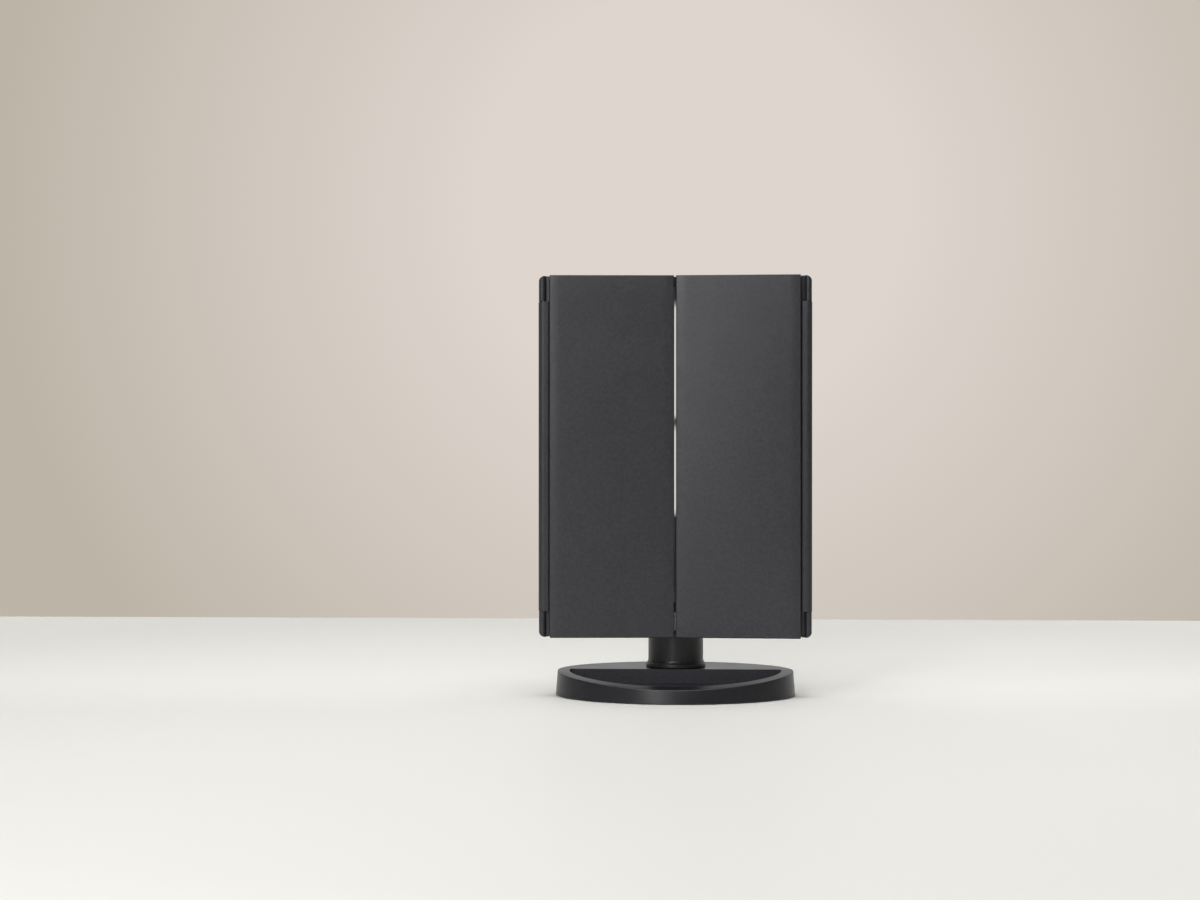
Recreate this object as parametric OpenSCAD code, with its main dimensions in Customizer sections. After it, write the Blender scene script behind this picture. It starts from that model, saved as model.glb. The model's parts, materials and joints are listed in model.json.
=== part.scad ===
// Trifold vanity mirror on an oval tray base, folded closed.
// The origin is on the table under the middle of the base, with the front towards -Y.
// Two wings fold over a lit centre mirror, and the whole head tilts on a round neck.

/* [Base] */
// Width of the base at its foot
base_w = 157.8; // [130:0.2:200]
// Depth of the base at its foot
base_d = 117; // [100:0.5:160]
// Height of the flat rear deck
deck_h = 16.5; // [15:0.5:24]
// Height of the top at the front edge
front_h = 9.2; // [8.6:0.1:14]
// How far the wall leans out at its foot
flare_out = 1.2; // [0.6:0.1:3]
// Height up to which the wall leans out
flare_h = 7.7; // [1.5:0.1:8.4]
// Wall of the base shell
base_wall = 2; // [1.6:0.1:2.6]
// Width of the rim round the tray
tray_rim = 8; // [6:0.5:14]
// Height of the tray floor
tray_floor_h = 7; // [7:0.1:9]
// Where the straight back wall of the tray stands
chord_y = 4.6; // [-10:0.2:5]
// Thickness of the non-slip pad under the base
pad_t = 0.8; // [0.5:0.1:1.2]
// Thickness of the plate that closes the base
plate_t = 2; // [1.2:0.1:2]
// Thickness of the thin part of the counterweight
weight_t = 2.2; // [1:0.1:2.2]

/* [Neck] */
// Radius of the neck
neck_r = 18.4; // [15:0.1:22.1]
// Gap between the neck and the plate of the tilt bracket
neck_gap = 2.1; // [2:0.1:6]
// Wall of the neck
neck_wall = 2.6; // [2:0.1:4]
// How far the collar stands out past the neck
collar_lip = 1.5; // [1:0.1:5]
// Height of the collar
collar_h = 3; // [2:0.1:5]
// How far the neck flares above the collar
neck_flare = 0.6; // [0.2:0.1:1]
// Height over which the neck flares
neck_flare_h = 2.4; // [2:0.1:6]

/* [Tilt joint] */
// Height of the tilt axis above the table
pivot_z = 85; // [78:0.5:100]
// How much larger the radius of the rounded top is than the neck's
head_crown = 0.6; // [0.3:0.1:1.5]
// Radius of the tilt axle
axle_r = 3; // [2:0.25:3.5]
// Clearance of the axle in the tongue
axle_fit = 0.05; // [0.02:0.01:0.1]
// Radius of the end of the tongue
tongue_r = 13; // [10:0.5:14]
// Width of the tongue
tongue_w = 12; // [8:0.5:13]
// Thickness of each friction washer
washer_t = 0.8; // [0.4:0.1:1.2]
// Gap between a washer and the tongue
washer_gap = 0.08; // [0.05:0.01:0.2]
// Thickness of the plate of the tilt bracket
bracket_t = 3; // [2:0.25:4]

/* [Centre panel] */
// Width of the centre panel
panel_w = 178.4; // [170:0.2:216]
// Height of the centre panel
panel_h = 236.1; // [200:0.5:280]
// Height of the panel's bottom edge above the table
panel_lift = 39.4; // [37:0.1:46]
// Place of the panel's back face
panel_back = 1.5; // [0:0.1:1.8]
// Thickness of the rear housing at its edge
flange_t = 7.3; // [6.8:0.1:7.6]
// Thickness of the whole panel
panel_t = 10; // [9.8:0.1:10.4]
// Radius of the corners of the rear housing
corner_r = 4.2; // [2:0.1:8]
// Wall of the rear housing
shell_t = 2; // [1.4:0.1:2.2]
// Thickness of the mirrors
glass_t = 2; // [1.5:0.1:2.2]
// How deep the mirrors sit below their rims
glass_inset = 0.6; // [0.4:0.1:0.8]
// Clearance round each mirror
glass_gap = 0.2; // [0.1:0.05:0.4]
// Half the width of the centre mirror
mirror_half_w = 58; // [45:0.5:58]
// Width of the border of the front frame, at the top
frame_border = 6; // [5:0.5:10]
// Height of the bottom border of the front frame
frame_sill = 22; // [20:0.5:30]

/* [Wings] */
// Thickness of a wing
wing_t = 8; // [7:0.1:8]
// How far a closed wing leans in towards its free edge, in degrees
wing_lean = 3.5; // [2:0.1:5]
// Width of the slit between the closed wings
slit_w = 1.3; // [0.8:0.1:3]
// How far a wing stands past the panel, top and bottom
wing_over = 0.3; // [0:0.1:1]
// Width of the rim round a wing's mirror
wing_rim = 3; // [2:0.25:6]
// Thickness of a wing's frame
wing_frame_t = 4; // [3.8:0.1:4.4]
// Wall of a wing's cover
cover_t = 1.8; // [1.2:0.1:2.4]
// Gap between a closed wing's free edge and the panel
wing_gap = 0.8; // [0.6:0.1:1.5]

/* [Wing hinges] */
// Radius of the hinge barrel
barrel_r = 3.3; // [3:0.1:4]
// How far a barrel stands out past the side of the panel
barrel_out = 0.2; // [0.1:0.05:0.6]
// Width of the groove between a barrel and the wing's cover
cover_gap = 0.7; // [0.5:0.1:1]
// Height of each ear that holds a barrel
ear_h = 16.6; // [14:0.1:24]
// Width of each ear
ear_w = 4.6; // [4.2:0.1:5]
// Gap between a barrel and its ear
barrel_gap = 0.3; // [0.2:0.05:0.5]
// Radius of the hinge pins
pin_r = 1; // [0.8:0.05:1.5]
// Clearance of a pin in its barrel
pin_fit = 0.05; // [0.02:0.01:0.1]
// How far a pin reaches into the ear and into the barrel
pin_grip = 11; // [8:0.5:12]

/* [Lights and controls] */
// Width of a light diffuser
light_w = 8; // [5:0.5:9]
// Distance of the diffusers from the middle
light_x = 66; // [65.5:0.5:68]
// Lamps in each strip
lamps = 10; // [4:1:16]
// Radius of the touch key
key_r = 6; // [4:0.5:7]
// Distance of the switch and the USB socket from the middle
control_x = 46; // [40:0.5:52]
// Height of the switch and the USB socket
control_z = 100; // [96:0.5:104]
// Travel of the switch
switch_travel = 3; // [2:0.5:4]

/* [Battery bay] */
// Diameter of a battery cell
cell_d = 10.5; // [10:0.1:10.5]
// Length of a battery cell
cell_l = 44.5; // [43:0.5:45]
// Gap between two cells
cell_gap = 0.5; // [0.3:0.1:1.5]
// Height of the lowest edge of the bay above the table
bay_z = 118; // [116:0.5:140]
// Wall round the bay
bay_wall = 2.2; // [1.8:0.1:3]
// Thickness of the battery door
door_t = 1.6; // [1.2:0.1:2]
// Clearance round the battery door
door_gap = 0.3; // [0.2:0.05:0.5]

/* [Hidden] */

LEFT = -1;
RIGHT = 1;

// Finishes
charcoal = [0.15, 0.15, 0.16];
satin_black = [0.10, 0.10, 0.105];
steel = [0.66, 0.67, 0.69];
silver = [0.86, 0.88, 0.90];
frosted = [0.95, 0.95, 0.92];
rubber_black = [0.06, 0.06, 0.06];
board_green = [0.10, 0.32, 0.18];
cell_jacket = [0.62, 0.48, 0.26];
copper = [0.72, 0.45, 0.25];
wire_red = [0.60, 0.12, 0.10];

// Shared small sizes
eps = 0.01;
clearance = 0.3;
fine = 96;
screw_r = 1.5;
screw_head_r = 2.8;
screw_head_h = 1.8;
screw_sink = screw_head_h + 0.2;
thread_r = 1.5;
through_r = 1.7;

// Base, worked out
oval_sides = 96;
foot_a = base_w / 2;
foot_b = base_d / 2;
wall_a = foot_a - flare_out;
wall_b = foot_b - flare_out;
foot_z = 0.5;
tray_a = wall_a - tray_rim;
tray_b = wall_b - tray_rim;
arch_slope = 1.5;
arch_run = wall_b + chord_y;
arch_drop = deck_h - front_h;
arch_rise = 2 * (arch_drop * cos(arch_slope) - arch_run * sin(arch_slope));
arch_r = (arch_run * arch_run + arch_drop * arch_drop) / arch_rise;
arch_axis_z = deck_h - arch_r * cos(arch_slope);
foot_steps = 6;
tray_floor_t = 1.6;
plate_z = pad_t;
weight_z = plate_z + plate_t + 0.1;
weight_rise = deck_h - base_wall - screw_head_h - 0.8;
boss_r = 3.6;
base_seat_z = plate_z + screw_sink;
base_boss_z = base_seat_z + 1;
base_screw_l = 8;
base_screw_x = 44;
base_screw_front_x = 62;
base_screw_rear_y = 30;

// Neck, worked out
pillar_z = deck_h + collar_h;
pillar_floor = 5;
neck_y = panel_back + bracket_t + neck_gap + neck_r;
collar_r = neck_r + collar_lip;
head_r = neck_r + head_crown;
neck_screw_ring = neck_r - 8;
neck_screw_l = 10;
slot_half = tongue_w / 2 + washer_gap + washer_t;
slot_r = tongue_r + 0.6;
tongue_half = tongue_r - 1;
forward_tilt = 5;
slot_drop = tongue_half / cos(forward_tilt) + head_r * tan(forward_tilt) + clearance;
slot_floor = 4;
hollow_h = pivot_z - slot_drop - slot_floor - pillar_z - pillar_floor;
counterbore_r = 6.2;
cap_t = 1.4;
cap_sink = 1.3;
head_h = 2.8;
bore_start = neck_r - cap_sink - cap_t - 0.1 - head_h;
washer_r = 8;
axle_head_r = 5.4;
nut_r = 5.6;

// Panel, worked out
panel_half = panel_w / 2;
panel_z0 = panel_lift;
panel_z1 = panel_lift + panel_h;
panel_front = panel_back - panel_t;
flange_y = panel_back - flange_t;
frame_half = panel_half - 2 * barrel_r - 2;
frame_z0 = panel_z0 + clearance;
frame_z1 = panel_z1 - clearance;
frame_back = flange_y + 1.1;
cavity_half = frame_half - 1.6;
cavity_z0 = panel_z0 + 2.6;
cavity_z1 = panel_z1 - 2.6;
flange_skin = 1.8;
rear_wall_y = panel_back - shell_t;
mirror_z0 = panel_z0 + frame_sill;
mirror_z1 = frame_z1 - frame_border;
mirror_y0 = panel_front + glass_inset;
mirror_y1 = mirror_y0 + glass_t;
key_z = panel_z0 + 9.6;
light_t = 1.5;
light_ledge = 1;
strip_y = frame_back + 1.2;
strip_t = 1;
lamp_t = 0.8;

// Wings, worked out
wing_edge = barrel_r + cover_gap;
hinge_x = panel_half - barrel_r + barrel_out;
wing_reach = (hinge_x - slit_w / 2 - wing_t * sin(wing_lean)) / cos(wing_lean);
hinge_y = panel_front - wing_gap - wing_reach * sin(wing_lean);
wing_z0 = panel_z0 - wing_over;
wing_z1 = panel_z1 + wing_over;
barrel_z0 = panel_z0 + ear_h + barrel_gap;
barrel_z1 = panel_z1 - ear_h - barrel_gap;
web_t = 2;
glass_depth = glass_inset + glass_t;
glass_bar = 4;
ear_r = ear_w / 2;
ear_x = panel_half - 0.1 - ear_r;
ear_fill = wing_edge - clearance;

// Bay and controls, worked out
cells = 4;
cell_pitch = cell_d + cell_gap;
contact_room = 3.2;
bay_half = cell_l / 2 + contact_room;
bay_h = cells * cell_pitch + 1;
bay_floor_y = frame_back + 1.3;
bay_floor_t = 1.2;
cell_y = bay_floor_y + bay_floor_t + cell_d / 2 + 0.1;
door_y = cell_y + cell_d / 2 + 0.4;
lip_t = 1.2;
bay_back = door_y + door_t + door_gap + lip_t;
groove_in = 1.2;
contact_t = 0.5;
board_y = rear_wall_y - 2.4;
board_t = 1.2;
switch_w = 9;
switch_h = 4;
knob_w = 4;
usb_w = 7.6;
usb_h = 2.8;
wire_r = 0.5;

// ---- Shared shapes ----

function oval_points(a, b) = [
    for (i = [0 : oval_sides - 1]) [a * cos(i * 360 / oval_sides), b * sin(i * 360 / oval_sides)]
];

// Points of a rectangle with round corners, from x0, z0 to x1, z1
function round_rect(x0, z0, x1, z1, r, steps = 10) = [
    for (c = [[x1 - r, z1 - r, 0], [x0 + r, z1 - r, 90], [x0 + r, z0 + r, 180], [x1 - r, z0 + r, 270]])
        for (i = [0 : steps]) [c[0] + r * cos(c[2] + 90 * i / steps), c[1] + r * sin(c[2] + 90 * i / steps)]
];

// A block from its lowest to its highest corner
module block(low, high) {
    translate(low)
        cube(high - low);
}

// Extrudes a shape drawn in X and Z from y0 to y1
module slab_y(y0, y1) {
    translate([0, y1, 0])
        rotate([90, 0, 0])
            linear_extrude(y1 - y0)
                children();
}

module oval_slab(a, b, z0, z1) {
    translate([0, 0, z0])
        linear_extrude(z1 - z0)
            polygon(oval_points(a, b));
}

module pan_screw(length) {
    slot_l = 3;
    slot_w = 0.7;
    slot_deep = 0.9;
    difference() {
        union() {
            translate([0, 0, -screw_head_h / 2])
                cylinder(r = screw_r, h = length + screw_head_h / 2, $fn = 32);
            translate([0, 0, -screw_head_h])
                cylinder(r = screw_head_r, h = screw_head_h, $fn = 32);
        }
        for (turn = [0, 90])
            rotate([0, 0, turn])
                translate([-slot_l / 2, -slot_w / 2, -screw_head_h - 1])
                    cube([slot_l, slot_w, slot_deep + 1]);
    }
}

// Puts a wing, drawn from its hinge axis outwards along +X, in its closed place
module in_wing(side) {
    translate([side * hinge_x, hinge_y, 0])
        rotate([0, 0, -side * wing_lean])
            mirror([side == RIGHT ? 1 : 0, 0, 0])
                children();
}

// ---- Stand ----

// The space above the arched top in front of the chord, for a top lowered by that much
module above_top(lowered) {
    reach = base_w / 2 + 5;
    difference() {
        block([-reach, -base_d, -1], [reach, chord_y, deck_h + 5]);
        translate([-reach - 1, chord_y + arch_r * sin(arch_slope), arch_axis_z - lowered])
            rotate([0, 90, 0])
                cylinder(r = arch_r, h = 2 * reach + 2, $fn = 720);
    }
}

// The oval block of the base, with a wall that leans out to its foot in fine steps
module base_block() {
    step = (flare_h - foot_z) / foot_steps;
    for (i = [0 : foot_steps - 1]) {
        out = flare_out * (1 - i / foot_steps);
        oval_slab(wall_a + out, wall_b + out, foot_z + i * step, foot_z + (i + 1) * step);
    }
    oval_slab(wall_a, wall_b, flare_h, deck_h);
}

// Tray space in front of its chord wall
module tray_space(grow, z0) {
    intersection() {
        oval_slab(tray_a + grow, tray_b + grow, z0, deck_h + 2);
        block([-base_w, -base_d, -1], [base_w, chord_y + grow, deck_h + 3]);
    }
}

function base_screw_spots() = [
    for (sx = [-1, 1]) [sx * base_screw_x, base_screw_rear_y],
    for (sx = [-1, 1]) [sx * base_screw_front_x, chord_y + boss_r + base_wall]
];

module base_shell() {
    color(satin_black)
    difference() {
        base_block();
        above_top(0);
        difference() {
            oval_slab(wall_a - base_wall, wall_b - base_wall, -1, deck_h - base_wall);
            above_top(base_wall);
            tray_space(base_wall, tray_floor_h - tray_floor_t);
            for (spot = base_screw_spots())
                translate([spot[0], spot[1], base_boss_z])
                    cylinder(r = boss_r, h = deck_h, $fn = fine);
        }
        tray_space(0, tray_floor_h);
        for (spot = base_screw_spots())
            translate([spot[0], spot[1], 0])
                cylinder(r = thread_r, h = base_seat_z + base_screw_l + 0.4, $fn = fine);
        for (turn = [90 : 120 : 330])
            translate([0, neck_y, 0])
                rotate([0, 0, turn])
                    translate([neck_screw_ring, 0, 0])
                        cylinder(r = through_r, h = deck_h + 1, $fn = fine);
    }
}

module base_plate() {
    a = wall_a - base_wall - 0.2;
    b = wall_b - base_wall - 0.2;
    color(satin_black)
    difference() {
        union() {
            oval_slab(a, b, plate_z, plate_z + plate_t);
            for (spot = base_screw_spots())
                translate([spot[0], spot[1], plate_z])
                    cylinder(r = boss_r, h = base_boss_z - plate_z, $fn = fine);
        }
        for (spot = base_screw_spots())
            translate([spot[0], spot[1], 0]) {
                cylinder(r = through_r, h = deck_h, $fn = fine);
                cylinder(r = screw_head_r + 0.2, h = base_seat_z, $fn = fine);
            }
    }
}

module counterweight() {
    gap = 1;
    a = wall_a - base_wall - gap;
    b = wall_b - base_wall - gap;
    low_top = min(weight_z + weight_t, tray_floor_h - tray_floor_t - 0.1);
    color(steel)
    difference() {
        union() {
            oval_slab(a - 5, b - 5, weight_z, low_top);
            intersection() {
                oval_slab(a, b, weight_z, weight_rise);
                block([-base_w, chord_y + base_wall + 0.5, 0], [base_w, base_d, deck_h]);
            }
        }
        for (spot = base_screw_spots())
            translate([spot[0], spot[1], 0])
                cylinder(r = boss_r + 0.5, h = deck_h, $fn = fine);
    }
}

module base_pad() {
    color(rubber_black)
        oval_slab(foot_a - 6, foot_b - 6, 0, pad_t);
}

module base_screws() {
    color(steel)
    for (spot = base_screw_spots())
        translate([spot[0], spot[1], base_seat_z])
            pan_screw(base_screw_l);
}

module neck_collar() {
    edge = 0.8;
    color(satin_black)
    translate([0, neck_y, deck_h])
        rotate_extrude($fn = fine)
            polygon([
                [neck_screw_ring + 5, 0], [collar_r - 0.3, 0], [collar_r, 0.4],
                [collar_r, collar_h - edge], [collar_r - edge * 0.3, collar_h - edge * 0.3],
                [collar_r - edge, collar_h], [neck_screw_ring + 5, collar_h]
            ]);
}

// The neck with its flared foot and rounded fork at the top
module neck_pillar() {
    floor_z = deck_h;
    bottom = pillar_z - floor_z;
    color(satin_black)
    difference() {
        union() {
            intersection() {
                translate([0, neck_y, pillar_z])
                    cylinder(r = neck_r, h = pivot_z, $fn = fine);
                union() {
                    block([-neck_r - 2, 0, 0], [neck_r + 2, neck_y + neck_r + 2, pivot_z + 1]);
                    translate([-neck_r - 2, neck_y, pivot_z])
                        rotate([0, 90, 0])
                            cylinder(r = head_r, h = 2 * neck_r + 4, $fn = fine);
                }
            }
            translate([0, neck_y, pillar_z])
                rotate_extrude($fn = fine)
                    polygon([
                        [0, 0], [neck_r + neck_flare, 0], [neck_r + neck_flare, 0.5],
                        [neck_r + neck_flare * 0.35, neck_flare_h * 0.5],
                        [neck_r - 0.05, neck_flare_h], [0, neck_flare_h]
                    ]);
            translate([0, neck_y, floor_z])
                cylinder(r = neck_screw_ring + 4.9, h = bottom + 1, $fn = fine);
        }
        translate([0, neck_y, pillar_z + pillar_floor])
            cylinder(r = neck_r - neck_wall, h = hollow_h, $fn = fine);
        for (turn = [90 : 120 : 330])
            translate([0, neck_y, 0])
                rotate([0, 0, turn])
                    translate([neck_screw_ring, 0, 0])
                        cylinder(r = thread_r, h = floor_z + neck_screw_l - 1.5, $fn = fine);
        // Slot for the tongue, open to the front and the top, with room for the forward tilt
        translate([-slot_half, neck_y, pivot_z])
            rotate([0, 90, 0])
                cylinder(r = slot_r, h = 2 * slot_half, $fn = fine);
        block([-slot_half, 0, pivot_z - slot_drop], [slot_half, neck_y, pivot_z + 30]);
        block([-slot_half, neck_y - 1, pivot_z], [slot_half, neck_y + slot_r, pivot_z + 30]);
        // Bore for the axle, and a counterbore at each end
        translate([-neck_r - 2, neck_y, pivot_z])
            rotate([0, 90, 0])
                cylinder(r = axle_r, h = 2 * neck_r + 4, $fn = fine);
        for (side = [LEFT, RIGHT])
            translate([side * bore_start, neck_y, pivot_z])
                rotate([0, side * 90, 0])
                    cylinder(r = counterbore_r, h = 10, $fn = fine);
    }
}

module neck_screws() {
    color(steel)
    for (turn = [90 : 120 : 330])
        translate([0, neck_y, deck_h - base_wall])
            rotate([0, 0, turn])
                translate([neck_screw_ring, 0, 0])
                    pan_screw(neck_screw_l);
}

module tilt_axle() {
    color(steel)
    translate([0, neck_y, pivot_z])
        rotate([0, 90, 0]) {
            translate([0, 0, -bore_start])
                cylinder(r = axle_r, h = 2 * bore_start + head_h, $fn = fine);
            translate([0, 0, -bore_start - head_h])
                difference() {
                    cylinder(r = axle_head_r, h = head_h, $fn = fine);
                    translate([0, 0, -eps])
                        cylinder(r = 2, h = 1.6, $fn = 6);
                }
        }
}

module tilt_nut() {
    color(steel)
    translate([bore_start, neck_y, pivot_z])
        rotate([0, 90, 0])
            difference() {
                cylinder(r = nut_r, h = head_h, $fn = 6);
                translate([0, 0, -1])
                    cylinder(r = axle_r, h = head_h + 2, $fn = fine);
            }
}

module friction_washers() {
    color(steel)
    for (side = [LEFT, RIGHT])
        translate([side * slot_half, neck_y, pivot_z])
            rotate([0, -side * 90, 0])
                difference() {
                    cylinder(r = washer_r, h = washer_t, $fn = fine);
                    translate([0, 0, -1])
                        cylinder(r = axle_r + axle_fit, h = washer_t + 2, $fn = fine);
                }
}

module axle_caps() {
    color(satin_black)
    for (side = [LEFT, RIGHT])
        translate([side * (bore_start + head_h + 0.1), neck_y, pivot_z])
            rotate([0, side * 90, 0])
                cylinder(r = counterbore_r, h = cap_t, $fn = fine);
}

// ---- Centre panel ----

function housing_screw_spots() = [
    for (sx = [-1, 1])
        for (z = [panel_z0 + 8, (panel_z0 + panel_z1) / 2 + 20, panel_z1 - 8]) [sx * (frame_half - 5), z]
];

function bracket_screw_spots() = [
    for (sx = [-1, 1])
        for (dz = [-11, 11]) [sx * 18, pivot_z + dz]
];

module housing_outline() {
    polygon(round_rect(-panel_half, panel_z0, panel_half, panel_z1, corner_r));
}

// An ear with a rounded front edge, level with the front of the barrel, and a set-back
// inner part that closes the gap beside the wing
module ear(side, z0) {
    round_y = hinge_y - barrel_r + ear_r;
    inner_x = side * (hinge_x - ear_fill);
    intersection() {
        union() {
            translate([side * ear_x, round_y, z0])
                cylinder(r = ear_r, h = ear_h, $fn = fine);
            block([side * ear_x - ear_r, round_y, z0],
                  [side * ear_x + ear_r, flange_y + 1, z0 + ear_h]);
            block([min(inner_x, side * ear_x), hinge_y + 2 * clearance, z0],
                  [max(inner_x, side * ear_x), flange_y + 1, z0 + ear_h]);
        }
        slab_y(hinge_y - barrel_r - 1, panel_back)
            housing_outline();
    }
}

module rear_housing() {
    bay_z1 = bay_z + bay_h;
    color(charcoal)
    difference() {
        union() {
            difference() {
                union() {
                    slab_y(flange_y, panel_back)
                        housing_outline();
                    for (side = [LEFT, RIGHT]) {
                        ear(side, panel_z0);
                        ear(side, panel_z1 - ear_h);
                    }
                }
                block([-cavity_half, flange_y - 1, cavity_z0], [cavity_half, rear_wall_y, cavity_z1]);
                block([-panel_half + shell_t, flange_y + flange_skin, cavity_z0 + ear_h],
                      [panel_half - shell_t, rear_wall_y, cavity_z1 - ear_h]);
            }
            // Battery bay, which starts behind the front frame and stands out of the back
            block([-bay_half - bay_wall, bay_floor_y, bay_z - bay_wall],
                  [bay_half + bay_wall, bay_back, bay_z1 + bay_wall]);
            for (spot = housing_screw_spots())
                translate([spot[0], panel_back, spot[1]])
                    rotate([90, 0, 0])
                        cylinder(r = boss_r, h = panel_back - frame_back, $fn = fine);
            for (spot = bracket_screw_spots())
                translate([spot[0], panel_back, spot[1]])
                    rotate([90, 0, 0])
                        cylinder(r = boss_r, h = panel_back - frame_back - 0.5, $fn = fine);
        }
        block([-bay_half, bay_floor_y + bay_floor_t, bay_z], [bay_half, bay_back + 1, bay_z1]);
        // Groove for the door, open at the top
        block([-bay_half - groove_in - door_gap, door_y - door_gap, bay_z - groove_in],
              [bay_half + groove_in + door_gap, door_y + door_t + door_gap, bay_z1 + bay_wall + 1]);
        block([-bay_half, door_y - door_gap, bay_z1 - 1], [bay_half, bay_back + 1, bay_z1 + bay_wall + 1]);
        for (spot = housing_screw_spots())
            translate([spot[0], panel_back + 1, spot[1]])
                rotate([90, 0, 0]) {
                    cylinder(r = through_r, h = 20, $fn = fine);
                    cylinder(r = screw_head_r + 0.2, h = 1 + screw_sink, $fn = fine);
                }
        for (spot = bracket_screw_spots())
            translate([spot[0], panel_back + 1, spot[1]])
                rotate([90, 0, 0])
                    cylinder(r = thread_r, h = 6.2, $fn = fine);
        for (side = [LEFT, RIGHT])
            for (z = [panel_z0 + ear_h - pin_grip, panel_z1 - ear_h])
                translate([side * hinge_x, hinge_y, z])
                    cylinder(r = pin_r, h = pin_grip, $fn = fine);
        // Openings for the switch knob and the USB socket
        block([control_x - knob_w / 2 - clearance, -5, control_z - switch_h / 2],
              [control_x + knob_w / 2 + switch_travel + clearance, panel_back + 1,
               control_z + switch_h / 2]);
        block([-control_x - usb_w / 2 - clearance, rear_wall_y - 1, control_z - usb_h / 2 - clearance],
              [-control_x + usb_w / 2 + clearance, panel_back + 1, control_z + usb_h / 2 + clearance]);
    }
}

module front_frame() {
    light_z0 = mirror_z0;
    light_z1 = mirror_z1;
    color(charcoal)
    difference() {
        union() {
            block([-frame_half, panel_front, frame_z0], [frame_half, flange_y, frame_z1]);
            block([-cavity_half + 0.2, flange_y - 1, cavity_z0 + 0.2],
                  [cavity_half - 0.2, frame_back, cavity_z1 - 0.2]);
        }
        block([-mirror_half_w - glass_gap, panel_front - 1, mirror_z0 - glass_gap],
              [mirror_half_w + glass_gap, mirror_y1, mirror_z1 + glass_gap]);
        for (side = [LEFT, RIGHT]) {
            block([side * light_x - light_w / 2 - 0.1, panel_front - 1, light_z0 - 0.1],
                  [side * light_x + light_w / 2 + 0.1, panel_front + light_t + 0.2, light_z1 + 0.1]);
            block([side * light_x - light_w / 2 + light_ledge, panel_front - 1, light_z0 + light_ledge],
                  [side * light_x + light_w / 2 - light_ledge, frame_back + 1, light_z1 - light_ledge]);
        }
        translate([0, panel_front + 1.4, key_z])
            rotate([90, 0, 0])
                cylinder(r = key_r + 0.1, h = 3, $fn = fine);
        for (spot = housing_screw_spots())
            translate([spot[0], frame_back + 1, spot[1]])
                rotate([90, 0, 0])
                    cylinder(r = thread_r, h = 3.4, $fn = fine);
    }
}

module centre_mirror() {
    color(silver)
        block([-mirror_half_w, mirror_y0, mirror_z0], [mirror_half_w, mirror_y1, mirror_z1]);
}

module light_diffuser(side) {
    color(frosted)
        block([side * light_x - light_w / 2, panel_front + 0.2, mirror_z0],
              [side * light_x + light_w / 2, panel_front + 0.2 + light_t, mirror_z1]);
}

module led_strip(side) {
    z0 = mirror_z0 + 3;
    z1 = mirror_z1 - 3;
    pitch = (z1 - z0) / lamps;
    color(board_green)
        block([side * light_x - 2.5, strip_y, z0], [side * light_x + 2.5, strip_y + strip_t, z1]);
    color(frosted)
        for (i = [0 : lamps - 1])
            block([side * light_x - 1.4, strip_y - lamp_t, z0 + pitch * (i + 0.5) - 1.75],
                  [side * light_x + 1.4, strip_y + eps, z0 + pitch * (i + 0.5) + 1.75]);
}

module touch_key() {
    color(frosted)
    translate([0, panel_front + 1.3, key_z])
        rotate([90, 0, 0])
            cylinder(r = key_r, h = 1.3, $fn = fine);
}

module touch_board() {
    color(board_green)
        block([-12, frame_back + 0.2, key_z - 6], [12, frame_back + 0.2 + board_t, key_z + 7]);
}

module control_board() {
    color(board_green)
    difference() {
        block([-control_x - 10, board_y - board_t, control_z - 6], [control_x + 10, board_y, control_z + 7]);
        for (spot = bracket_screw_spots())
            translate([spot[0], panel_back, spot[1]])
                rotate([90, 0, 0])
                    cylinder(r = boss_r + 0.4, h = 20, $fn = fine);
    }
}

module switch_body() {
    color(steel)
    difference() {
        block([control_x - switch_w / 2 + switch_travel / 2, board_y, control_z - 3],
              [control_x + switch_w / 2 + switch_travel / 2, rear_wall_y - 0.1, control_z + 3]);
        block([control_x - knob_w / 2 - clearance, board_y + 0.6, control_z - 1.6],
              [control_x + knob_w / 2 + switch_travel + clearance, rear_wall_y, control_z + 1.6]);
    }
}

module switch_slider() {
    color(rubber_black)
    union() {
        block([control_x - knob_w / 2, board_y + 0.9, control_z - 1.3],
              [control_x + knob_w / 2, panel_back - 0.5, control_z + 1.3]);
        for (rib = [-1.5, -0.4, 0.7])
            block([control_x + rib, panel_back - 1, control_z - 1.3],
                  [control_x + rib + 0.7, panel_back + 1, control_z + 1.3]);
    }
}

module usb_socket() {
    y0 = board_y;
    y1 = panel_back - 0.2;
    color(steel)
    difference() {
        block([-control_x - usb_w / 2, y0, control_z - usb_h / 2],
              [-control_x + usb_w / 2, y1, control_z + usb_h / 2]);
        difference() {
            block([-control_x - usb_w / 2 + 0.4, y0 + 0.5, control_z - usb_h / 2 + 0.4],
                  [-control_x + usb_w / 2 - 0.4, y1 + 1, control_z + usb_h / 2 - 0.4]);
            block([-control_x - 2, y0, control_z - 0.35], [-control_x + 2, y1 - 0.8, control_z + 0.35]);
        }
    }
}

// Leads from the board up to each light strip and down to the touch board
module lead_wires() {
    wire_y = board_y - board_t / 2;
    color(wire_red)
    for (side = [LEFT, RIGHT]) {
        translate([side * (control_x + 10), wire_y, control_z])
            rotate([0, side * 90, 0])
                cylinder(r = wire_r, h = light_x - control_x - 12.5, $fn = 24);
        translate([side * 6, frame_back + 0.2 + board_t / 2, key_z + 7])
            cylinder(r = wire_r, h = control_z - key_z - 13, $fn = 24);
    }
}

module battery_cell(index) {
    z = bay_z + 0.5 + cell_pitch * (index + 0.5);
    turn = index % 2 == 0 ? 1 : -1;
    color(cell_jacket)
    translate([0, cell_y, z])
        rotate([0, turn * 90, 0]) {
            translate([0, 0, -cell_l / 2])
                cylinder(r = cell_d / 2, h = cell_l - 1, $fn = fine);
            translate([0, 0, cell_l / 2 - 1.5])
                cylinder(r = 1.9, h = 1.5, $fn = 48);
        }
}

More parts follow.
